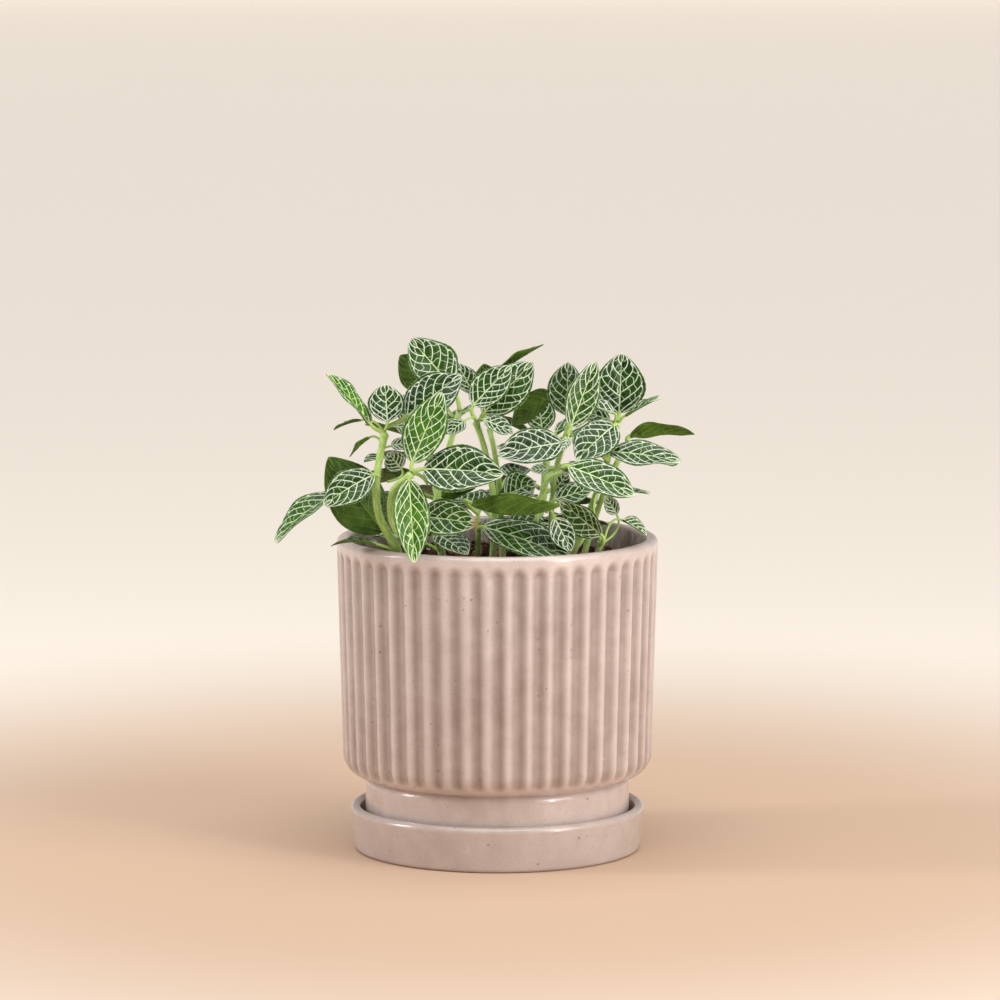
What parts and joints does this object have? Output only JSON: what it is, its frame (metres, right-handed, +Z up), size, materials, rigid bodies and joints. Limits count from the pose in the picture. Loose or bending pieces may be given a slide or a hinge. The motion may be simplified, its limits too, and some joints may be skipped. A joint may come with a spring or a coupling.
{
  "type": "potted nerve plant",
  "caption": "Small nerve plant with white-veined green leaves in a vertically ribbed glazed ceramic pot that stands on a round glazed saucer",
  "frame": {"origin": "centre of the saucer's flat underside", "axes": "+Z up along the pot's axis, front of the plant towards -Y, +X to the right seen from the front"},
  "size_m": [0.154, 0.1249, 0.1935],
  "materials": {
    "pot_glaze": "glossy taupe-pink glaze with fine dark specks",
    "saucer_glaze": "the same glossy taupe-pink glaze, smooth",
    "soil": "dark potting mix with bark and fibre",
    "leaf": "dark green blade with a net of pale veins, soft gloss",
    "stem": "pale green, finely hairy"
  },
  "bodies": {
    "root": {"saucer": "saucer_glaze", "pot": "pot_glaze", "soil": "soil", "stem_a": "stem", "stem_b": "stem", "stem_c": "stem", "stem_d": "stem", "stem_e": "stem", "stem_f": "stem", "stem_g": "stem", "stem_h": "stem", "stem_i": "stem", "stem_j": "stem", "stem_k": "stem", "stem_l": "stem", "stem_m": "stem", "leaf_01": "leaf", "leaf_04": "leaf", "leaf_05": "leaf", "leaf_06": "leaf", "leaf_07": "leaf", "leaf_08": "leaf", "leaf_09": "leaf", "leaf_10": "leaf", "leaf_11": "leaf", "leaf_12": "leaf", "leaf_13": "leaf", "leaf_14": "leaf", "leaf_15": "leaf", "leaf_19": "leaf", "leaf_20": "leaf", "leaf_21": "leaf", "leaf_22": "leaf", "leaf_27": "leaf", "leaf_28": "leaf", "leaf_29": "leaf", "leaf_30": "leaf", "leaf_32": "leaf", "leaf_33": "leaf", "leaf_35": "leaf", "leaf_37": "leaf", "leaf_38": "leaf", "leaf_39": "leaf", "leaf_42": "leaf", "leaf_43": "leaf", "leaf_44": "leaf", "leaf_45": "leaf", "leaf_46": "leaf", "leaf_47": "leaf", "leaf_48": "leaf", "leaf_50": "leaf", "leaf_61": "leaf", "leaf_62": "leaf", "leaf_63": "leaf", "leaf_64": "leaf", "leaf_65": "leaf", "leaf_66": "leaf", "leaf_67": "leaf", "leaf_68": "leaf", "leaf_69": "leaf"}
  },
  "joints": []
}
